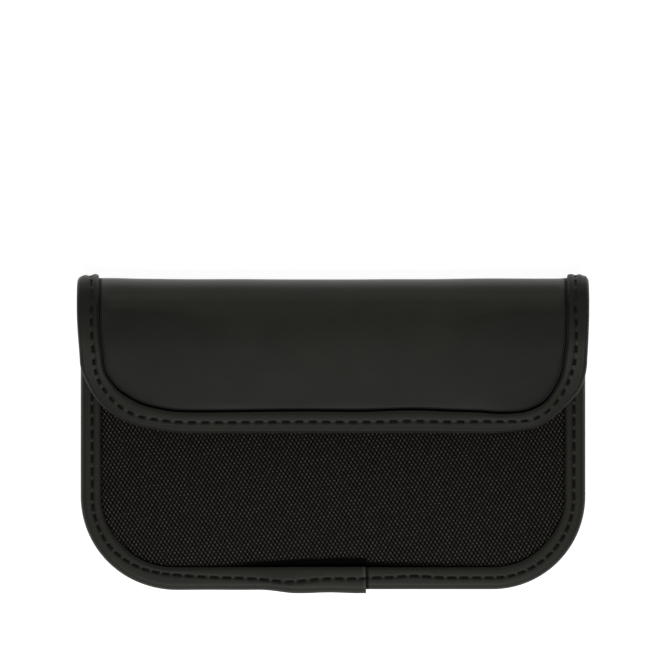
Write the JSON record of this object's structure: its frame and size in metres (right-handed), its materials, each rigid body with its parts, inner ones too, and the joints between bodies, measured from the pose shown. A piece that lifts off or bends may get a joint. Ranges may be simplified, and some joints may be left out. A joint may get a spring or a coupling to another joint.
{
  "type": "rfid card and key pouch",
  "caption": "Flat padded pouch with a woven front, shielded card and key pockets, a bound edge all round and a wide flap that folds over the mouth.",
  "frame": {"origin": "middle of the closed pouch's box, on the surface that its back lies on", "axes": "+X along the fold, +Y from the free end towards the fold, +Z out of the front, so the pouch lies on its back"},
  "size_m": [0.145, 0.09, 0.0138],
  "materials": {
    "soft_leatherette": "soft-touch matte polyurethane leatherette, smooth",
    "binding_tape": "folded coated binding tape, matte, one row of stitches",
    "woven_polyester": "coarse plain-weave polyester",
    "shield_cloth": "fine conductive shielding cloth",
    "padding_foam": "thin padding foam",
    "hook_fastener": "hook tape",
    "loop_fastener": "loop tape"
  },
  "bodies": {
    "pouch": {"rear_panel": "soft_leatherette", "rear_foam": "padding_foam", "rear_shield_lining": "shield_cloth", "pocket_divider": "shield_cloth", "front_shield_lining": "shield_cloth", "front_panel": "woven_polyester", "front_mouth_binding": "binding_tape", "body_binding": "binding_tape", "binding_overlap": "binding_tape", "loop_strip": "loop_fastener"},
    "flap": {"flap_panel": "soft_leatherette", "flap_foam": "padding_foam", "flap_lining": "shield_cloth", "flap_binding": "binding_tape", "hook_strip": "hook_fastener"}
  },
  "joints": [
    {"name": "flap_hinge", "type": "hinge", "parent": "pouch", "child": "flap", "pos_m": [0, 0.04506, 0.0069], "axis": [-1, 0, 0], "range_deg": [0, 178]}
  ]
}
